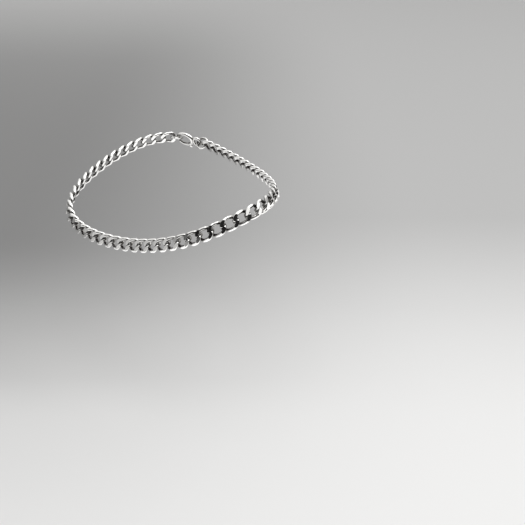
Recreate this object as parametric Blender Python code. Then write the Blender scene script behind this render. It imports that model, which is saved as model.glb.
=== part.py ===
"""Curb chain anklet in its worn form, a closed loop of flat filed links.

Metres, +Z up. The origin is the middle of the loop, where the ankle passes through.
+X points to the front of the ankle, and the inner side of the ankle is at -Y.
The chain runs counterclockwise, seen from above, from the jump ring at one end
of the clasp, round the back and the inner side, to the jump ring at the other end.
"""

import math

import bmesh
import bpy
import numpy as np
from mathutils import Matrix, Vector

OBJECT_NAME = "curb_chain_anklet"

# Chain
LINK_COUNT = 55
LINK_LENGTH = 0.0066
LINK_WIDTH = 0.0048
LINK_WIRE = 0.0012
LINK_TWIST = math.radians(55)
# How far the twist gathers at the ends of a link: 1 spreads it evenly
LINK_TWIST_POWER = 1.5
# Hand of the twist: 1, or -1 for its mirror image
LINK_HAND = -1
LINK_SQUARENESS = 2.5
# Depth to which the ends of neighbouring links are pressed into each other
LINK_BITE = 0.0001
FILED_THICKNESS = 0.0020
# Clearance between pieces that hang in each other
SEAT_GAP = 0.0003

# Clasp and its jump rings
RING_WIRE = 0.0009
# Room in a ring beyond the two wires that it holds
RING_SLACK = 0.0012
RING_START_ROLL = math.radians(60)
RING_END_ROLL = math.radians(66)
CLASP_LENGTH = 0.0120
CLASP_WIDTH = 0.0062
CLASP_SQUARENESS = 2.2
CLASP_TIP_WIRE = 0.0013
CLASP_HEEL_WIRE = 0.0018
CLASP_EYE_HOLE = 0.0022
CLASP_EYE_WIRE = 0.0011
# Depth to which the claw's heel and the eye run into each other
CLASP_NECK_DEPTH = 0.0006

# Loop round the ankle: its size follows from the chain's length, its shape from these
LOOP_LENGTH_TO_BREADTH = 1.414
LOOP_RISE = 0.00412
LOOP_WAVES = (
    # waves round the loop, then the cosine and sine shares of half length, half breadth and rise
    (1, 1.000, 0.000, 0.000, 1.000, 1.00, 1.56),
    (2, 0.028, 0.072, -0.012, -0.112, 0.95, 0.04),
    (3, -0.014, -0.017, -0.034, 0.030, 0.12, 0.07),
)
# Share of the girth from the front to the middle of the clasp
CLASP_PLACE = 0.3834
# Lower edge leans out from the leg, more so at the front
FLARE_MEAN = math.radians(20)
FLARE_FRONT = math.radians(8)

# Smoothness of the solids
LINK_POINTS = 14
LINK_WIRE_SIDES = 6
CLASP_POINTS = 20
RING_SIDES = 16
ROUND_WIRE_SIDES = 8
LOOP_SAMPLES = 2880
LOOP_TRIALS = 60
SHARP_ANGLE = math.radians(50)
MERGE_DISTANCE = 0.000001

SILVER_COLOUR = (0.86, 0.86, 0.87, 1.0)
SILVER_ROUGHNESS = 0.16
CLASP_ROUGHNESS = 0.20

# Derived sizes
LINK_PITCH = LINK_LENGTH - 2 * LINK_WIRE + LINK_BITE
SPLIT_PITCH = LINK_LENGTH - 2 * LINK_WIRE - SEAT_GAP
RING_HOLE = LINK_WIRE + max(CLASP_TIP_WIRE, CLASP_EYE_WIRE) + RING_SLACK
RING_RADIUS = (RING_HOLE + RING_WIRE) / 2
LINK_END = LINK_LENGTH / 2 - LINK_WIRE
EYE_RADIUS = (CLASP_EYE_HOLE + CLASP_EYE_WIRE) / 2

# Places along the chain, counted from the middle of its last link
RING_END_PLACE = LINK_END - SEAT_GAP - RING_WIRE / 2 + RING_RADIUS
CLASP_START = RING_END_PLACE + RING_RADIUS - RING_WIRE / 2 - SEAT_GAP - CLASP_EYE_WIRE
CLASP_TIP = CLASP_START + CLASP_LENGTH
RING_START_PLACE = CLASP_TIP - CLASP_TIP_WIRE - SEAT_GAP - RING_WIRE / 2 + RING_RADIUS
CLASP_SPAN = RING_START_PLACE + RING_RADIUS - RING_WIRE / 2 - SEAT_GAP + LINK_END
BACK_COUNT = LINK_COUNT // 2
CHAIN_RUN = (LINK_COUNT - 2) * LINK_PITCH + SPLIT_PITCH
LOOP_GIRTH = CHAIN_RUN + CLASP_SPAN


def loop_points(angles, half_length):
    """Points of the loop's middle line, angle 0 at the front and 90 degrees at the outer side."""
    half_breadth = half_length / LOOP_LENGTH_TO_BREADTH
    x = np.zeros_like(angles)
    y = np.zeros_like(angles)
    z = np.zeros_like(angles)
    for waves, x_cosine, x_sine, y_cosine, y_sine, z_cosine, z_sine in LOOP_WAVES:
        cosine = np.cos(waves * angles)
        sine = np.sin(waves * angles)
        x += half_length * (x_cosine * cosine + x_sine * sine)
        y += half_breadth * (y_cosine * cosine + y_sine * sine)
        z += LOOP_RISE * (z_cosine * cosine + z_sine * sine)
    return np.stack([x, y, z], axis=1)


def distances_along(points):
    """Distance of each point from the first one, along the line through them."""
    steps = np.linalg.norm(np.diff(points, axis=0), axis=1)
    return np.concatenate([[0.0], np.cumsum(steps)])


def solve_loop():
    """Angles of the loop and the distance of each along it, for a loop of the chain's girth."""
    angles = np.linspace(0, 2 * math.pi, LOOP_SAMPLES + 1)
    low, high = 0.0, LOOP_GIRTH
    for _ in range(LOOP_TRIALS):
        half_length = (low + high) / 2
        if distances_along(loop_points(angles, half_length))[-1] < LOOP_GIRTH:
            low = half_length
        else:
            high = half_length
    points = loop_points(angles, half_length)
    return angles, distances_along(points), points


LOOP_ANGLES, LOOP_DISTANCES, LOOP_POINTS = solve_loop()
LAST_LINK_PLACE = CLASP_PLACE * LOOP_GIRTH - CLASP_SPAN / 2


def point_at(place):
    """Point of the loop at a distance from the front."""
    place = place % LOOP_GIRTH
    return Vector([np.interp(place, LOOP_DISTANCES, axis) for axis in LOOP_POINTS.T])


def frame_at(place, chord):
    """Frame at a place on the loop: X along the chain, Y up its edge, Z out of its face."""
    angle = np.interp(place % LOOP_GIRTH, LOOP_DISTANCES, LOOP_ANGLES)
    start = point_at(place - chord / 2)
    end = point_at(place + chord / 2)
    along = (end - start).normalized()
    outward = along.cross(Vector((0, 0, 1))).normalized()
    upward = outward.cross(along)
    flare = FLARE_MEAN + FLARE_FRONT * math.cos(angle)
    face = outward * math.cos(flare) + upward * math.sin(flare)
    edge = face.cross(along)
    frame = Matrix((along, edge, face)).transposed().to_4x4()
    frame.translation = (start + end) / 2
    return frame


def link_places():
    """Places of the links' middles, the pitch a little shorter where the two halves meet."""
    places = []
    place = LAST_LINK_PLACE + CLASP_SPAN
    for number in range(LINK_COUNT):
        places.append(place)
        place += SPLIT_PITCH if number == BACK_COUNT - 1 else LINK_PITCH
    return places


def principled(name, roughness):
    """Silver material."""
    material = bpy.data.materials.new(name)
    material.use_nodes = True
    shader = material.node_tree.nodes["Principled BSDF"]
    shader.inputs["Base Color"].default_value = SILVER_COLOUR
    shader.inputs["Metallic"].default_value = 1.0
    shader.inputs["Roughness"].default_value = roughness
    material.diffuse_color = SILVER_COLOUR
    return material


def smooth(mesh):
    """Smooth shading with crisp edges where the faces are filed."""
    mesh.shade_smooth()
    mesh.set_sharp_from_angle(angle=SHARP_ANGLE)


def add_object(name, mesh, material, collection):
    """Object with one material, in the given collection."""
    mesh.materials.clear()
    mesh.materials.append(material)
    smooth(mesh)
    shape = bpy.data.objects.new(name, mesh)
    collection.objects.link(shape)
    return shape


def wire_mesh(name, points, radii, sides, turn=0.0):
    """Closed wire through the points, as a mesh: its radius at each point, its section's turn."""
    curve = bpy.data.curves.new(name, "CURVE")
    curve.dimensions = "3D"
    curve.bevel_depth = 1.0
    curve.bevel_resolution = sides // 2 - 2
    spline = curve.splines.new("POLY")
    spline.points.add(len(points) - 1)
    for control, point, radius in zip(spline.points, points, radii):
        control.co = (*point, 1.0)
        control.radius = radius
        control.tilt = turn
    spline.use_cyclic_u = True
    wire = bpy.data.objects.new(name, curve)
    bpy.context.scene.collection.objects.link(wire)
    depsgraph = bpy.context.evaluated_depsgraph_get()
    mesh = bpy.data.meshes.new_from_object(wire.evaluated_get(depsgraph))
    bpy.data.objects.remove(wire)
    bpy.data.curves.remove(curve)
    edit = bmesh.new()
    edit.from_mesh(mesh)
    bmesh.ops.remove_doubles(edit, verts=edit.verts, dist=MERGE_DISTANCE)
    bmesh.ops.recalc_face_normals(edit, faces=edit.faces)
    edit.to_mesh(mesh)
    edit.free()
    return mesh


def round_section_radius(wire, sides):
    """Corner radius of the polygon that has the same area as a round wire's section."""
    return wire / 2 * math.sqrt(2 * math.pi / (sides * math.sin(2 * math.pi / sides)))


def oval(angle, half_length, half_width, squareness):
    """Point of a squarish oval at an angle."""
    cosine, sine = math.cos(angle), math.sin(angle)
    x = math.copysign(abs(cosine) ** (2 / squareness), cosine) * half_length
    y = math.copysign(abs(sine) ** (2 / squareness), sine) * half_width
    return x, y


def link_mesh():
    """One curb link: an oval of wire twisted about its length, then filed flat on both faces."""
    half_length = (LINK_LENGTH - LINK_WIRE) / 2
    half_width = (LINK_WIDTH - LINK_WIRE) / 2
    points = []
    for number in range(LINK_POINTS):
        x, y = oval(2 * math.pi * number / LINK_POINTS, half_length, half_width, LINK_SQUARENESS)
        twist = LINK_TWIST * math.copysign(abs(x / half_length) ** LINK_TWIST_POWER, x)
        points.append((x, y * math.cos(twist), y * math.sin(twist)))
    radius = round_section_radius(LINK_WIRE, LINK_WIRE_SIDES)
    mesh = wire_mesh("curb_link", points, [radius] * LINK_POINTS, LINK_WIRE_SIDES)
    for vertex in mesh.vertices:
        vertex.co.z = max(-FILED_THICKNESS / 2, min(FILED_THICKNESS / 2, vertex.co.z))
        vertex.co.y *= LINK_HAND
    if LINK_HAND < 0:
        mesh.flip_normals()
    return mesh


def merged_links(name, link, frames):
    """Mesh that holds a copy of the link in each frame."""
    merged = bmesh.new()
    for frame in frames:
        copy = link.copy()
        copy.transform(frame)
        merged.from_mesh(copy)
        bpy.data.meshes.remove(copy)
    mesh = bpy.data.meshes.new(name)
    merged.to_mesh(mesh)
    merged.free()
    return mesh


def join_to(shape, other, helpers):
    """Fuse another object to a shape and hide the other."""
    for collection in other.users_collection:
        collection.objects.unlink(other)
    helpers.objects.link(other)
    other.hide_render = True
    other.display_type = "WIRE"
    union = shape.modifiers.new("fuse", "BOOLEAN")
    union.operation = "UNION"
    union.solver = "EXACT"
    union.object = other


def build_chain_half(name, places, link, collection, helpers):
    """Interlocked links fused into one body: every second link joined to those between."""
    frames = [frame_at(place, LINK_PITCH) for place in places]
    silver = principled(name + "_silver", SILVER_ROUGHNESS)
    half = add_object(name, merged_links(name, link, frames[0::2]), silver, collection)
    between = add_object(name + "_between", merged_links(name, link, frames[1::2]), silver, helpers)
    join_to(half, between, helpers)
    return half


def build_ring(name, place, roll, collection):
    """Jump ring whose plane holds the chain's line, rolled about that line."""
    bpy.ops.mesh.primitive_torus_add(
        major_radius=RING_RADIUS,
        minor_radius=round_section_radius(RING_WIRE, ROUND_WIRE_SIDES),
        major_segments=RING_SIDES,
        minor_segments=ROUND_WIRE_SIDES,
    )
    torus = bpy.context.object
    mesh = torus.data
    bpy.data.objects.remove(torus)
    ring = add_object(name, mesh, principled(name + "_silver", SILVER_ROUGHNESS), collection)
    ring.matrix_world = frame_at(LAST_LINK_PLACE + place, 2 * RING_RADIUS) @ Matrix.Rotation(roll, 4, "X")
    return ring


def build_clasp(collection, helpers):
    """Lobster clasp as one plain piece: a claw of tapering wire, closed, with an eye at its heel."""
    claw_start = CLASP_EYE_HOLE + 2 * CLASP_EYE_WIRE - CLASP_NECK_DEPTH + CLASP_HEEL_WIRE / 2
    claw_end = CLASP_LENGTH - CLASP_TIP_WIRE / 2
    half_length = (claw_end - claw_start) / 2
    middle = (claw_end + claw_start) / 2
    points = []
    radii = []
    for number in range(CLASP_POINTS):
        angle = 2 * math.pi * number / CLASP_POINTS
        toward_heel = (1 - math.cos(angle)) / 2
        wire = CLASP_TIP_WIRE + (CLASP_HEEL_WIRE - CLASP_TIP_WIRE) * toward_heel ** 2
        x, y = oval(angle, half_length, (CLASP_WIDTH - wire) / 2, CLASP_SQUARENESS)
        points.append((middle + x, y, 0))
        radii.append(round_section_radius(wire, ROUND_WIRE_SIDES))
    frame = frame_at(LAST_LINK_PLACE + CLASP_START + CLASP_LENGTH / 2, CLASP_LENGTH)
    frame = frame @ Matrix.Translation((-CLASP_LENGTH / 2, 0, 0))
    silver = principled("lobster_clasp_silver", CLASP_ROUGHNESS)
    half_side = math.pi / ROUND_WIRE_SIDES
    claw_mesh = wire_mesh("lobster_clasp", points, radii, ROUND_WIRE_SIDES, turn=half_side)
    clasp = add_object("lobster_clasp", claw_mesh, silver, collection)
    clasp.matrix_world = frame

    bpy.ops.mesh.primitive_torus_add(
        major_radius=EYE_RADIUS,
        minor_radius=round_section_radius(CLASP_EYE_WIRE, ROUND_WIRE_SIDES),
        major_segments=RING_SIDES,
        minor_segments=ROUND_WIRE_SIDES,
    )
    torus = bpy.context.object
    eye_mesh = torus.data
    bpy.data.objects.remove(torus)
    eye = add_object("lobster_clasp_eye", eye_mesh, silver, collection)
    eye_place = Matrix.Translation((EYE_RADIUS + CLASP_EYE_WIRE / 2, 0, 0))
    eye.matrix_world = frame @ eye_place @ Matrix.Rotation(math.pi / RING_SIDES, 4, "Z")
    join_to(clasp, eye, helpers)
    return clasp


def make_collection(name):
    """New collection in the scene."""
    collection = bpy.data.collections.new(name)
    bpy.context.scene.collection.children.link(collection)
    return collection


def main():
    for old in list(bpy.data.objects):
        bpy.data.objects.remove(old, do_unlink=True)
    anklet = make_collection(OBJECT_NAME)
    helpers = make_collection("joined_pieces")

    link = link_mesh()
    places = link_places()
    build_chain_half("curb_chain_back", places[:BACK_COUNT], link, anklet, helpers)
    build_chain_half("curb_chain_front", places[BACK_COUNT:], link, anklet, helpers)
    bpy.data.meshes.remove(link)
    build_ring("jump_ring_end", RING_END_PLACE, -LINK_HAND * RING_END_ROLL, anklet)
    build_ring("jump_ring_start", RING_START_PLACE, LINK_HAND * RING_START_ROLL, anklet)
    build_clasp(anklet, helpers)


main()
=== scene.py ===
import math

import bmesh
import bpy
import numpy as np
from mathutils import Matrix, Vector
from mathutils.bvhtree import BVHTree


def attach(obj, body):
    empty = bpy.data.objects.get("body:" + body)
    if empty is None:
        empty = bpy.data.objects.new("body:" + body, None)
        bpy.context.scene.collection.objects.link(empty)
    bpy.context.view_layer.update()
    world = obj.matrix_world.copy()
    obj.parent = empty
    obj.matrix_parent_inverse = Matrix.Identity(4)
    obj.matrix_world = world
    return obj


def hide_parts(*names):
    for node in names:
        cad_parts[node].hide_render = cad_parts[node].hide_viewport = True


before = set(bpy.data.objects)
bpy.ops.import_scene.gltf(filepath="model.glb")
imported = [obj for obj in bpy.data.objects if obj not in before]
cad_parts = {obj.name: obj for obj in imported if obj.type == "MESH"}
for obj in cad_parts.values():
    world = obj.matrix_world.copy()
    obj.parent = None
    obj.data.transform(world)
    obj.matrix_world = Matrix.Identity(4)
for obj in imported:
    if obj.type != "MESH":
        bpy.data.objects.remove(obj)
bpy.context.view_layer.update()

# Looks of a curb chain anklet in bright silver, in metres, in the solids' own frame.
# The loop's line and the links' sizes repeat those of the solids.
UP = Vector((0, 0, 1))

# Chain
LINK_COUNT = 55
LINK_LENGTH = 0.0066
LINK_WIDTH = 0.0048
LINK_WIRE = 0.0012
LINK_TWIST = math.radians(55)
LINK_TWIST_POWER = 1.5
# Hand of the twist: 1, or -1 for its mirror image
LINK_HAND = -1
LINK_SQUARENESS = 2.5
LINK_BITE = 0.0001
FILED_THICKNESS = 0.0020
SEAT_GAP = 0.0003
LINK_ROLL = math.radians(1.2)
LINK_SWAY = math.radians(0.8)

# Clasp and its jump rings
RING_WIRE = 0.0009
RING_SLACK = 0.0012
RING_START_ROLL = math.radians(60)
RING_END_ROLL = math.radians(66)
RING_CUT = 0.00006
CLASP_LENGTH = 0.0120
CLASP_WIDTH = 0.0062
CLASP_SQUARENESS = 2.2
CLASP_TIP_WIRE = 0.0013
CLASP_HEEL_WIRE = 0.0018
CLASP_EYE_HOLE = 0.0022
CLASP_EYE_WIRE = 0.0011
CLASP_NECK_DEPTH = 0.0006
SEAM_ANGLE = math.radians(-22)
SEAM_GAP_ANGLE = math.radians(1.5)
PIVOT_ANGLE = math.radians(-150)
LEVER_TUCK = math.radians(6)
LEVER_SLIMNESS = 0.93
LEVER_FLATNESS = 0.86
ARC_ROUNDING = 0.05
ARC_END_SHARE = 0.08
TAB_ANGLE = math.radians(-122)
TAB_HEIGHT = 0.0011
TAB_WIRE = 0.0011
TAB_LEAN = 0.0004
TAB_DEPTH = 0.6
TAB_ROOT_SHARE = 1.25
TAB_TOP_SHARE = 0.90
TAB_BLUNTNESS = 5
TAB_END_SHARE = 0.02
PIN_RADIUS = 0.00045
PIN_HEAD = 0.00012
PIN_END_SHARE = 0.05

# Loop round the ankle
LOOP_LENGTH_TO_BREADTH = 1.414
LOOP_RISE = 0.00412
LOOP_WAVES = (
    # waves round the loop, then the cosine and sine shares of half length, half breadth and rise
    (1, 1.000, 0.000, 0.000, 1.000, 1.00, 1.56),
    (2, 0.028, 0.072, -0.012, -0.112, 0.95, 0.04),
    (3, -0.014, -0.017, -0.034, 0.030, 0.12, 0.07),
)
CLASP_PLACE = 0.3834
FLARE_MEAN = math.radians(20)
FLARE_FRONT = math.radians(8)
LOOP_SAMPLES = 2880
LOOP_TRIALS = 60

# Places along the chain, counted from the middle of its last link
RING_HOLE = LINK_WIRE + max(CLASP_TIP_WIRE, CLASP_EYE_WIRE) + RING_SLACK
RING_RADIUS = (RING_HOLE + RING_WIRE) / 2
LINK_END = LINK_LENGTH / 2 - LINK_WIRE
RING_END_PLACE = LINK_END - SEAT_GAP - RING_WIRE / 2 + RING_RADIUS
CLASP_START = RING_END_PLACE + RING_RADIUS - RING_WIRE / 2 - SEAT_GAP - CLASP_EYE_WIRE
CLASP_TIP = CLASP_START + CLASP_LENGTH
RING_START_PLACE = CLASP_TIP - CLASP_TIP_WIRE - SEAT_GAP - RING_WIRE / 2 + RING_RADIUS
CLASP_SPAN = RING_START_PLACE + RING_RADIUS - RING_WIRE / 2 - SEAT_GAP + LINK_END
CHAIN_RUN = (LINK_COUNT - 1) * (LINK_LENGTH - 2 * LINK_WIRE + LINK_BITE) - SEAT_GAP - LINK_BITE
LOOP_GIRTH = CHAIN_RUN + CLASP_SPAN
LINK_PITCH = CHAIN_RUN / (LINK_COUNT - 1)

# Fineness of the meshes
LINK_POINTS = 72
LINK_WIRE_SIDES = 20
RING_POINTS = 96
ROUND_WIRE_SIDES = 24
CLASP_POINTS = 120
TAB_POINTS = 16
PIN_ROWS = 24
ANGLE_STEP = 0.05
SHARP_ANGLE = math.radians(32)
CUT_TOLERANCE = 1e-8
HOLLOW_RAYS = 64
HOLLOW_LIFT = 0.00003
GOLDEN_ANGLE = math.pi * (3 - math.sqrt(5))

# Silver, and the painted shade in its hollows by the share of the view that is shut off
BRIGHT_SILVER = (0.93, 0.925, 0.91, 1.0)
# Colours of the painted shade in the hollows of the chain and of the clasp
CHAIN_PAINTED_SHADE = (0.07, 0.065, 0.06, 1.0)
CLASP_PAINTED_SHADE = (0.12, 0.115, 0.105, 1.0)
# Shares of the view shut off where the painted shade starts and where it is full
HOLLOW_OPEN = 0.04
HOLLOW_SHUT = 0.26
# Least strength of the painted shade where the clouds are low
THINNEST_PAINTED_SHADE = 0.7

# Handling marks and scratches of the silver
CHAIN_ROUGHNESS = (0.05, 0.12)
CLASP_ROUGHNESS = (0.07, 0.15)
CLOUD_SCALE = 420
CLOUD_DETAIL = 3
CLOUD_GRAIN = 0.5
CLOUD_LOW = 0.3
CLOUD_HIGH = 0.7
SCRATCH_SCALE = 5200
SCRATCH_DETAIL = 5
SCRATCH_GRAIN = 0.7
SCRATCH_LOW = 0.45
SCRATCH_HIGH = 0.75
SCRATCH_ROUGHNESS = 0.06
SCRATCH_STRENGTH = 0.25
SCRATCH_DEPTH = 0.000008

# Camera, as in the photograph
IMAGE_WIDTH = 525
FOCAL_PIXELS = 700
SENSOR_WIDTH = 36
CAMERA_PLACE = Vector((0.2046, -0.1094, 0.1128))
CAMERA_AZIMUTH = math.radians(53.7)
CAMERA_ELEVATION = math.radians(32.1)
RIGHT = Vector((math.cos(CAMERA_AZIMUTH), math.sin(CAMERA_AZIMUTH), 0))
AWAY = UP.cross(RIGHT)
NEAREST_SEEN = 0.01
FURTHEST_SEEN = 20

# Paper floor
FLOOR_DROP = 0.060
FLOOR_SIZE = 6.0
FLOOR_ROUGHNESS = 0.7
FLOOR_SPECULAR = 0.2
FLOOR_NEAR = -0.15
FLOOR_FAR = 0.65
FLOOR_LEFT = -0.10
FLOOR_RIGHT = 0.12
# Painted light and shade on the floor: lighter near the camera and to the right, darker far off and to
# the left
FLOOR_LEFT_PAINTED_SHADING = (
    # position and tone, from near to far
    (0.0, 0.82),
    (0.07, 0.70),
    (0.12, 0.66),
    (0.145, 0.53),
    (0.20, 0.36),
    (0.245, 0.24),
    (0.28, 0.21),
    (0.65, 0.24),
    (0.89, 0.44),
)
FLOOR_RIGHT_PAINTED_SHADING = (
    (0.0, 0.88),
    (0.12, 0.82),
    (0.20, 0.68),
    (0.30, 0.42),
    (1.0, 0.46),
)

# Soft lights: place to the right, away from the camera and up, then size and power
KEY_PLACE = (0.35, 0.30, 0.55)
KEY_SIZE = 0.30
KEY_POWER = 0.7
TOP_PLACE = (0, 0.05, 0.70)
TOP_SIZE = 0.35
TOP_POWER = 0.8
CARD_LIFT = 0.002
CARD_PLACE = (0, -0.05, CARD_LIFT - FLOOR_DROP)
CARD_SIZE = 0.22
CARD_POWER = 0.09

# Glow of the room by direction: from left to right, towards the camera, overhead and at the horizon
ROOM_COLOUR = (1.0, 0.995, 0.985, 1.0)
LEFT_SIDE = -0.6
LEFT_GLOW = 0.80
RIGHT_SIDE = 0.8
RIGHT_GLOW = 1.40
CAMERA_SIDE = -0.42
ROOM_SIDE = -0.20
DIM_SHARE = 0.015
TOP_START = 0.50
TOP_END = 0.90
TOP_GLOW = 0.20
HORIZON_GLOW = 0.52
HORIZON_TOP = 0.10
ROOM_BOTTOM = 0.20


def loop_points(angles, half_length):
    """Points of the loop's middle line, angle 0 at the front and 90 degrees at the outer side."""
    half_breadth = half_length / LOOP_LENGTH_TO_BREADTH
    x = np.zeros_like(angles)
    y = np.zeros_like(angles)
    z = np.zeros_like(angles)
    for waves, x_cosine, x_sine, y_cosine, y_sine, z_cosine, z_sine in LOOP_WAVES:
        cosine = np.cos(waves * angles)
        sine = np.sin(waves * angles)
        x += half_length * (x_cosine * cosine + x_sine * sine)
        y += half_breadth * (y_cosine * cosine + y_sine * sine)
        z += LOOP_RISE * (z_cosine * cosine + z_sine * sine)
    return np.stack([x, y, z], axis=1)


def distances_along(points):
    """Distance of each point from the first one, along the line through them."""
    steps = np.linalg.norm(np.diff(points, axis=0), axis=1)
    return np.concatenate([[0.0], np.cumsum(steps)])


def solve_loop():
    """Angles of the loop and the distance of each along it, for a loop of the chain's girth."""
    angles = np.linspace(0, 2 * math.pi, LOOP_SAMPLES + 1)
    low, high = 0.0, LOOP_GIRTH
    for _ in range(LOOP_TRIALS):
        half_length = (low + high) / 2
        if distances_along(loop_points(angles, half_length))[-1] < LOOP_GIRTH:
            low = half_length
        else:
            high = half_length
    points = loop_points(angles, half_length)
    return angles, distances_along(points), points


LOOP_ANGLES, LOOP_DISTANCES, LOOP_POINTS = solve_loop()
LAST_LINK_PLACE = CLASP_PLACE * LOOP_GIRTH - CLASP_SPAN / 2


def point_at(place):
    """Point of the loop at a distance from the front."""
    place = place % LOOP_GIRTH
    return Vector([np.interp(place, LOOP_DISTANCES, axis) for axis in LOOP_POINTS.T])


def frame_at(place, chord):
    """Frame at a place on the loop: X along the chain, Y up its edge, Z out of its face."""
    angle = np.interp(place % LOOP_GIRTH, LOOP_DISTANCES, LOOP_ANGLES)
    start = point_at(place - chord / 2)
    end = point_at(place + chord / 2)
    along = (end - start).normalized()
    outward = along.cross(UP).normalized()
    upward = outward.cross(along)
    flare = FLARE_MEAN + FLARE_FRONT * math.cos(angle)
    face = outward * math.cos(flare) + upward * math.sin(flare)
    edge = face.cross(along)
    place_frame = Matrix((along, edge, face)).transposed().to_4x4()
    place_frame.translation = (start + end) / 2
    return place_frame


def oval(angle, half_length, half_width, squareness):
    """Point of a squarish oval at an angle."""
    cosine, sine = math.cos(angle), math.sin(angle)
    x = math.copysign(abs(cosine) ** (2 / squareness), cosine) * half_length
    y = math.copysign(abs(sine) ** (2 / squareness), sine) * half_width
    return x, y


def sweep(edit, points, radii, guides, sides, closed):
    """Round wire through the points, each with its own radius; a guide turns each section."""
    count = len(points)
    rings = []
    for number in range(count):
        before = points[number - 1] if closed or number > 0 else points[number]
        after = points[(number + 1) % count] if closed or number < count - 1 else points[number]
        tangent = (after - before).normalized()
        side = (guides[number] - tangent * guides[number].dot(tangent)).normalized()
        other = tangent.cross(side)
        ring = []
        for step in range(sides):
            angle = 2 * math.pi * step / sides
            offset = side * math.cos(angle) + other * math.sin(angle)
            ring.append(edit.verts.new(points[number] + offset * radii[number]))
        rings.append(ring)
    pairs = list(zip(rings, rings[1:])) + ([(rings[-1], rings[0])] if closed else [])
    for first, second in pairs:
        for step in range(sides):
            after = (step + 1) % sides
            edit.faces.new((first[step], first[after], second[after], second[step]))
    if not closed:
        edit.faces.new(rings[0][::-1])
        edit.faces.new(rings[-1])


def finish_mesh(edit, name):
    """Mesh from the edit, shaded smooth with crisp edges."""
    bmesh.ops.recalc_face_normals(edit, faces=edit.faces)
    mesh = bpy.data.meshes.new(name)
    edit.to_mesh(mesh)
    edit.free()
    mesh.shade_smooth()
    mesh.set_sharp_from_angle(angle=SHARP_ANGLE)
    return mesh


def link_mesh():
    """One curb link: an oval of round wire twisted about its length, then filed flat on both faces."""
    half_length = (LINK_LENGTH - LINK_WIRE) / 2
    half_width = (LINK_WIDTH - LINK_WIRE) / 2
    points = []
    guides = []
    for number in range(LINK_POINTS):
        x, y = oval(2 * math.pi * number / LINK_POINTS, half_length, half_width, LINK_SQUARENESS)
        twist = LINK_HAND * LINK_TWIST * math.copysign(abs(x / half_length) ** LINK_TWIST_POWER, x)
        points.append(Vector((x, y * math.cos(twist), y * math.sin(twist))))
        guides.append(Vector((0, -math.sin(twist), math.cos(twist))))
    edit = bmesh.new()
    sweep(edit, points, [LINK_WIRE / 2] * LINK_POINTS, guides, LINK_WIRE_SIDES, closed=True)
    for side in (-1, 1):
        cut = bmesh.ops.bisect_plane(
            edit,
            geom=edit.verts[:] + edit.edges[:] + edit.faces[:],
            dist=CUT_TOLERANCE,
            plane_co=(0, 0, side * FILED_THICKNESS / 2),
            plane_no=(0, 0, side),
            clear_outer=True,
        )
        rim = [item for item in cut["geom_cut"] if isinstance(item, bmesh.types.BMEdge)]
        bmesh.ops.edgeloop_fill(edit, edges=rim)
    return finish_mesh(edit, "curb_link")


def shade_hollows(mesh, crowd):
    """Colour attribute with the share of the view that a crowd of meshes shuts off at each point, the
    mask of the painted shade.
    """
    tree = BVHTree.FromBMesh(crowd)
    directions = []
    for number in range(HOLLOW_RAYS):
        height = math.sqrt((number + 0.5) / HOLLOW_RAYS)
        angle = number * GOLDEN_ANGLE
        reach = math.sqrt(1 - height * height)
        directions.append(Vector((reach * math.cos(angle), reach * math.sin(angle), height)))
    painted_shade_mask = mesh.color_attributes.new("painted_shade_mask", "FLOAT_COLOR", "POINT")
    for vertex, entry in zip(mesh.vertices, painted_shade_mask.data):
        turn = vertex.normal.to_track_quat("Z", "Y")
        start = vertex.co + vertex.normal * HOLLOW_LIFT
        hits = [tree.ray_cast(start, turn @ direction, LINK_LENGTH)[0] for direction in directions]
        share = sum(hit is not None for hit in hits) / HOLLOW_RAYS
        entry.color = (share, share, share, 1.0)


def copies(mesh, frames):
    """Edit that holds a copy of the mesh in each frame."""
    merged = bmesh.new()
    for place_frame in frames:
        copy = mesh.copy()
        copy.transform(place_frame)
        merged.from_mesh(copy)
        bpy.data.meshes.remove(copy)
    return merged


def add_piece(name, mesh, material, replaced=()):
    """Piece of the anklet in the frame."""
    mesh.materials.clear()
    mesh.materials.append(material)
    piece = bpy.data.objects.new(name, mesh)
    bpy.context.scene.collection.objects.link(piece)
    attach(piece, "root")
    if replaced:
        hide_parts(*replaced)


def uneven_lie(number):
    """Small roll and sway of a link, since no two lie quite alike."""
    roll = LINK_ROLL * math.sin(number * GOLDEN_ANGLE)
    sway = LINK_SWAY * math.sin(2 * number * GOLDEN_ANGLE)
    return Matrix.Rotation(roll, 4, "X") @ Matrix.Rotation(sway, 4, "Y")


def build_chain(material):
    """All the links, evenly spaced from one jump ring round to the other."""
    link = link_mesh()
    # Mask of the painted shade, from the view that the link and its two neighbours shut off
    crowd = copies(link, [Matrix.Translation((shift, 0, 0)) for shift in (-LINK_PITCH, 0, LINK_PITCH)])
    shade_hollows(link, crowd)
    crowd.free()
    first = LAST_LINK_PLACE + CLASP_SPAN
    frames = []
    for number in range(LINK_COUNT):
        frames.append(frame_at(first + number * LINK_PITCH, LINK_PITCH) @ uneven_lie(number))
    chain = copies(link, frames)
    mesh = bpy.data.meshes.new("curb_chain")
    chain.to_mesh(mesh)
    chain.free()
    add_piece("curb_chain", mesh, material, ("curb_chain_back", "curb_chain_front"))
    return copies(link, [frames[0], frames[-1]])


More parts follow.
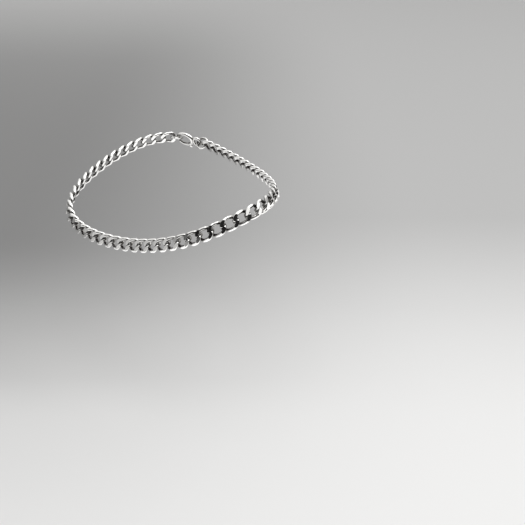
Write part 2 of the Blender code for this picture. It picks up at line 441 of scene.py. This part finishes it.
def ring_mesh(name, place, roll):
    """Jump ring of round wire, bent shut with a fine cut."""
    edit = bmesh.new()
    cut_angle = RING_CUT / RING_RADIUS
    points = []
    for number in range(RING_POINTS + 1):
        angle = math.pi / 2 + cut_angle / 2 + (2 * math.pi - cut_angle) * number / RING_POINTS
        points.append(Vector((math.cos(angle), math.sin(angle), 0)) * RING_RADIUS)
    radii = [RING_WIRE / 2] * len(points)
    sweep(edit, points, radii, [UP] * len(points), ROUND_WIRE_SIDES, closed=False)
    mesh = finish_mesh(edit, name)
    frame_here = frame_at(LAST_LINK_PLACE + place, 2 * RING_RADIUS)
    mesh.transform(frame_here @ Matrix.Rotation(roll, 4, "X"))
    return mesh


def clasp_frame():
    """Frame of the clasp, from the outer end of its eye."""
    middle = frame_at(LAST_LINK_PLACE + CLASP_START + CLASP_LENGTH / 2, CLASP_LENGTH)
    return middle @ Matrix.Translation((-CLASP_LENGTH / 2, 0, 0))


def claw_point(angle):
    """Point of the closed claw's middle line at an angle, 0 at the tip, and the wire's radius there."""
    claw_start = CLASP_EYE_HOLE + 2 * CLASP_EYE_WIRE - CLASP_NECK_DEPTH + CLASP_HEEL_WIRE / 2
    claw_end = CLASP_LENGTH - CLASP_TIP_WIRE / 2
    half_length = (claw_end - claw_start) / 2
    toward_heel = (1 - math.cos(angle)) / 2
    wire = CLASP_TIP_WIRE + (CLASP_HEEL_WIRE - CLASP_TIP_WIRE) * toward_heel ** 2
    x, y = oval(angle, half_length, (CLASP_WIDTH - wire) / 2, CLASP_SQUARENESS)
    return Vector(((claw_end + claw_start) / 2 + x, y, 0)), wire / 2


def claw_arc(name, start, end, slimness, flatness):
    """Stretch of the claw's wire with round ends, from one angle to another."""
    points = []
    radii = []
    for number in range(CLASP_POINTS + 1):
        share = number / CLASP_POINTS
        point, radius = claw_point(start + (end - start) * share)
        near_end = min(1.0, min(share, 1 - share) / ARC_ROUNDING)
        points.append(point)
        radii.append(radius * slimness * max(ARC_END_SHARE, math.sqrt(1 - (1 - near_end) ** 2)))
    edit = bmesh.new()
    sweep(edit, points, radii, [UP] * len(points), ROUND_WIRE_SIDES, closed=False)
    for vertex in edit.verts:
        vertex.co.z *= flatness
    return finish_mesh(edit, name)


def thumb_tab():
    """Small round tab on the lever's outer side, with which a thumb opens the clasp."""
    root, radius = claw_point(TAB_ANGLE)
    ahead, _ = claw_point(TAB_ANGLE + ANGLE_STEP)
    along = (ahead - root).normalized()
    out = Vector((along.y, -along.x, 0))
    if out.dot(root - claw_point(TAB_ANGLE + math.pi)[0]) < 0:
        out = -out
    edit = bmesh.new()
    points = []
    radii = []
    for number in range(TAB_POINTS + 1):
        share = number / TAB_POINTS
        rise = radius * TAB_DEPTH + TAB_HEIGHT * share
        points.append(root + out * rise - along * TAB_LEAN * share ** 2)
        taper = TAB_ROOT_SHARE + (TAB_TOP_SHARE - TAB_ROOT_SHARE) * share
        radii.append(TAB_WIRE / 2 * taper * math.sqrt(max(TAB_END_SHARE, 1 - share ** TAB_BLUNTNESS)))
    sweep(edit, points, radii, [UP] * len(points), ROUND_WIRE_SIDES, closed=False)
    return finish_mesh(edit, "clasp_thumb_tab")


def rivet():
    """Pin of the lever, with a low domed head on each face."""
    middle, radius = claw_point(PIVOT_ANGLE)
    reach = radius + PIN_HEAD
    rows = []
    for number in range(PIN_ROWS + 1):
        share = 2 * number / PIN_ROWS - 1
        dome = math.sqrt(max(0.0, 1 - max(0.0, (abs(share) * reach - radius) / PIN_HEAD) ** 2))
        rows.append((share * reach, PIN_RADIUS * max(PIN_END_SHARE, dome)))
    edit = bmesh.new()
    points = [middle + UP * height for height, _ in rows]
    guides = [Vector((1, 0, 0))] * len(points)
    sweep(edit, points, [wide for _, wide in rows], guides, ROUND_WIRE_SIDES, closed=False)
    return finish_mesh(edit, "clasp_pin")


def clasp_eye():
    """Eye of the clasp, a ring of wire that grows out of the claw's heel."""
    radius = (CLASP_EYE_HOLE + CLASP_EYE_WIRE) / 2
    middle = Vector((radius + CLASP_EYE_WIRE / 2, 0, 0))
    points = []
    for number in range(RING_POINTS):
        angle = 2 * math.pi * number / RING_POINTS
        points.append(middle + Vector((math.cos(angle), math.sin(angle), 0)) * radius)
    edit = bmesh.new()
    radii = [CLASP_EYE_WIRE / 2] * RING_POINTS
    sweep(edit, points, radii, [UP] * RING_POINTS, ROUND_WIRE_SIDES, closed=True)
    return finish_mesh(edit, "clasp_eye")


def clasp_meshes():
    """Lobster clasp: the claw, its sprung lever with a thumb tab, the lever's pin, and the eye."""
    lever_start = PIVOT_ANGLE - LEVER_TUCK
    lever_end = SEAM_ANGLE - SEAM_GAP_ANGLE
    meshes = {
        "clasp_claw": claw_arc("clasp_claw", SEAM_ANGLE, 2 * math.pi + PIVOT_ANGLE, 1, 1),
        "clasp_lever": claw_arc("clasp_lever", lever_start, lever_end, LEVER_SLIMNESS, LEVER_FLATNESS),
        "clasp_eye": clasp_eye(),
        "clasp_thumb_tab": thumb_tab(),
        "clasp_pin": rivet(),
    }
    for mesh in meshes.values():
        mesh.transform(clasp_frame())
    return meshes


def build_closure(material, crowd):
    """Clasp and both jump rings, with painted shade where they and the chain's end links crowd
    together.
    """
    meshes = clasp_meshes()
    for name, place, roll in (
        ("jump_ring_end_wire", RING_END_PLACE, -LINK_HAND * RING_END_ROLL),
        ("jump_ring_start_wire", RING_START_PLACE, LINK_HAND * RING_START_ROLL),
    ):
        meshes[name] = ring_mesh(name, place, roll)
    replaced = {
        "clasp_claw": ("lobster_clasp",),
        "jump_ring_end_wire": ("jump_ring_end",),
        "jump_ring_start_wire": ("jump_ring_start",),
    }
    for mesh in meshes.values():
        crowd.from_mesh(mesh)
    # Mask of the painted shade, from the view that the clasp's pieces, rings and end links shut off
    for name, mesh in meshes.items():
        shade_hollows(mesh, crowd)
        add_piece(name, mesh, material, replaced.get(name, ()))
    crowd.free()


def new_material(name):
    """Material with an empty node tree but for its shader and output."""
    material = bpy.data.materials.new(name)
    material.use_nodes = True
    return material, material.node_tree, material.node_tree.nodes["Principled BSDF"]


def noise(tree, coordinates, scale, detail, grain):
    """Noise texture in object space."""
    texture = tree.nodes.new("ShaderNodeTexNoise")
    texture.inputs["Scale"].default_value = scale
    texture.inputs["Detail"].default_value = detail
    texture.inputs["Roughness"].default_value = grain
    tree.links.new(coordinates, texture.inputs["Vector"])
    return texture.outputs["Fac"]


def map_range(tree, value, low, high, to_low, to_high):
    """Value mapped from one range to another."""
    node = tree.nodes.new("ShaderNodeMapRange")
    tree.links.new(value, node.inputs["Value"])
    node.inputs["From Min"].default_value = low
    node.inputs["From Max"].default_value = high
    node.inputs["To Min"].default_value = to_low
    node.inputs["To Max"].default_value = to_high
    return node.outputs["Result"]


def smooth_step(tree, value, low, high, to_low, to_high):
    """Value that goes smoothly from one level to another."""
    result = map_range(tree, value, low, high, to_low, to_high)
    result.node.interpolation_type = "SMOOTHSTEP"
    return result


def combine(tree, operation, first, second):
    """Sum or product of two values."""
    node = tree.nodes.new("ShaderNodeMath")
    node.operation = operation
    tree.links.new(first, node.inputs[0])
    tree.links.new(second, node.inputs[1])
    return node.outputs["Value"]


def silver(name, shade_colour, roughness):
    """Polished silver: cloudy handling marks, fine scratches, and painted shade in the hollows."""
    material, tree, shader = new_material(name)
    shader.inputs["Metallic"].default_value = 1.0
    coordinates = tree.nodes.new("ShaderNodeTexCoord").outputs["Object"]
    clouds = noise(tree, coordinates, CLOUD_SCALE, CLOUD_DETAIL, CLOUD_GRAIN)
    scratches = noise(tree, coordinates, SCRATCH_SCALE, SCRATCH_DETAIL, SCRATCH_GRAIN)

    # Base colour goes from bright silver to painted shade where the view is shut off, patchy under the
    # clouds
    mix = tree.nodes.new("ShaderNodeMix")
    mix.data_type = "RGBA"
    mix.inputs["A"].default_value = BRIGHT_SILVER
    mix.inputs["B"].default_value = shade_colour
    painted_shade_mask = tree.nodes.new("ShaderNodeAttribute")
    painted_shade_mask.attribute_name = "painted_shade_mask"
    shut = map_range(tree, painted_shade_mask.outputs["Fac"], HOLLOW_OPEN, HOLLOW_SHUT, 0, 1)
    patchy = map_range(tree, clouds, CLOUD_LOW, CLOUD_HIGH, THINNEST_PAINTED_SHADE, 1)
    tree.links.new(combine(tree, "MULTIPLY", shut, patchy), mix.inputs["Factor"])
    tree.links.new(mix.outputs["Result"], shader.inputs["Base Color"])

    handled = map_range(tree, clouds, CLOUD_LOW, CLOUD_HIGH, *roughness)
    scratched = map_range(tree, scratches, SCRATCH_LOW, SCRATCH_HIGH, 0, SCRATCH_ROUGHNESS)
    tree.links.new(combine(tree, "ADD", handled, scratched), shader.inputs["Roughness"])

    bump = tree.nodes.new("ShaderNodeBump")
    bump.inputs["Strength"].default_value = SCRATCH_STRENGTH
    bump.inputs["Distance"].default_value = SCRATCH_DEPTH
    tree.links.new(scratches, bump.inputs["Height"])
    tree.links.new(bump.outputs["Normal"], shader.inputs["Normal"])
    return material


def build_camera():
    """Camera at the photograph's angle to the chain."""
    forward = AWAY * math.cos(CAMERA_ELEVATION) - UP * math.sin(CAMERA_ELEVATION)
    data = bpy.data.cameras.new("camera")
    data.sensor_width = SENSOR_WIDTH
    data.lens = FOCAL_PIXELS / IMAGE_WIDTH * SENSOR_WIDTH
    data.clip_start = NEAREST_SEEN
    data.clip_end = FURTHEST_SEEN
    camera = bpy.data.objects.new("camera", data)
    bpy.context.scene.collection.objects.link(camera)
    turn = Matrix((RIGHT, RIGHT.cross(forward), -forward)).transposed().to_4x4()
    camera.matrix_world = Matrix.Translation(CAMERA_PLACE) @ turn
    bpy.context.scene.camera = camera


def along_axis(tree, coordinates, axis):
    """Distance of a point along an axis."""
    node = tree.nodes.new("ShaderNodeVectorMath")
    node.operation = "DOT_PRODUCT"
    node.inputs[1].default_value = axis
    tree.links.new(coordinates, node.inputs[0])
    return node.outputs["Value"]


def grey_ramp(tree, value, tones):
    """Grey tone from a value, through pairs of position and tone."""
    ramp = tree.nodes.new("ShaderNodeValToRGB")
    ramp.color_ramp.interpolation = "B_SPLINE"
    while len(ramp.color_ramp.elements) < len(tones):
        ramp.color_ramp.elements.new(0.5)
    for element, (position, tone) in zip(ramp.color_ramp.elements, tones):
        element.position = position
        element.color = (tone, tone, tone, 1.0)
    tree.links.new(value, ramp.inputs["Fac"])
    return ramp.outputs["Color"]


def build_floor():
    """Pale floor well below the chain, lighter near the camera by painted light and deeper in tone far
    off and to the left by painted shade.
    """
    edit = bmesh.new()
    bmesh.ops.create_grid(edit, x_segments=1, y_segments=1, size=FLOOR_SIZE / 2)
    mesh = bpy.data.meshes.new("floor")
    edit.to_mesh(mesh)
    edit.free()
    floor = bpy.data.objects.new("floor", mesh)
    floor.location.z = -FLOOR_DROP
    bpy.context.scene.collection.objects.link(floor)
    material, tree, shader = new_material("floor_paper")
    shader.inputs["Roughness"].default_value = FLOOR_ROUGHNESS
    shader.inputs["Specular IOR Level"].default_value = FLOOR_SPECULAR
    coordinates = tree.nodes.new("ShaderNodeTexCoord").outputs["Object"]
    # Painted light and shade: the floor's tone by depth and by side
    depth = map_range(tree, along_axis(tree, coordinates, AWAY), FLOOR_NEAR, FLOOR_FAR, 0, 1)
    across = smooth_step(tree, along_axis(tree, coordinates, RIGHT), FLOOR_LEFT, FLOOR_RIGHT, 0, 1)
    tone = tree.nodes.new("ShaderNodeMix")
    tone.data_type = "RGBA"
    tree.links.new(across, tone.inputs["Factor"])
    tree.links.new(grey_ramp(tree, depth, FLOOR_LEFT_PAINTED_SHADING), tone.inputs["A"])
    tree.links.new(grey_ramp(tree, depth, FLOOR_RIGHT_PAINTED_SHADING), tone.inputs["B"])
    tree.links.new(tone.outputs["Result"], shader.inputs["Base Color"])
    mesh.materials.append(material)


def area_light(name, place, size, power):
    """Soft square light that looks at the chain."""
    data = bpy.data.lights.new(name, "AREA")
    data.shape = "SQUARE"
    data.size = size
    data.energy = power
    light = bpy.data.objects.new(name, data)
    light.location = RIGHT * place[0] + AWAY * place[1] + UP * place[2]
    light.rotation_mode = "QUATERNION"
    light.rotation_quaternion = (-light.location).to_track_quat("-Z", "Y")
    bpy.context.scene.collection.objects.link(light)
    return light


def low_card():
    """Soft light that lies under the chain and shows only as a reflection in the metal."""
    card = area_light("low_card", CARD_PLACE, CARD_SIZE, CARD_POWER)
    card.rotation_quaternion = UP.to_track_quat("-Z", "Y")
    card.visible_camera = False
    card.visible_diffuse = False


def build_studio():
    """Plain soft studio, brightest to the right, dim on the camera's side and pale at the horizon."""
    area_light("key_softbox", KEY_PLACE, KEY_SIZE, KEY_POWER)
    area_light("top_softbox", TOP_PLACE, TOP_SIZE, TOP_POWER)
    low_card()
    world = bpy.data.worlds.new("studio")
    world.use_nodes = True
    tree = world.node_tree
    background = tree.nodes["Background"]
    direction = tree.nodes.new("ShaderNodeTexCoord").outputs["Generated"]
    rightward = along_axis(tree, direction, RIGHT)
    depth = along_axis(tree, direction, AWAY)
    height = along_axis(tree, direction, UP)
    sides = smooth_step(tree, rightward, LEFT_SIDE, RIGHT_SIDE, LEFT_GLOW, RIGHT_GLOW)
    open_side = smooth_step(tree, depth, CAMERA_SIDE, ROOM_SIDE, DIM_SHARE, 1)
    above = smooth_step(tree, height, TOP_START, TOP_END, 0, TOP_GLOW)
    room = combine(tree, "ADD", combine(tree, "MULTIPLY", sides, open_side), above)
    strength = tree.nodes.new("ShaderNodeMix")
    above_horizon = smooth_step(tree, height, HORIZON_TOP, ROOM_BOTTOM, 0, 1)
    tree.links.new(above_horizon, strength.inputs["Factor"])
    strength.inputs["A"].default_value = HORIZON_GLOW
    tree.links.new(room, strength.inputs["B"])
    tree.links.new(strength.outputs["Result"], background.inputs["Strength"])
    background.inputs["Color"].default_value = ROOM_COLOUR
    bpy.context.scene.world = world
    bpy.context.scene.view_settings.view_transform = "Standard"


def main():
    """The anklet, then what it is seen in."""
    chain_silver = silver("chain_silver", CHAIN_PAINTED_SHADE, CHAIN_ROUGHNESS)
    clasp_silver = silver("clasp_silver", CLASP_PAINTED_SHADE, CLASP_ROUGHNESS)
    end_links = build_chain(chain_silver)
    build_closure(clasp_silver, end_links)
    build_floor()
    build_studio()
    build_camera()
    bpy.context.view_layer.update()


main()
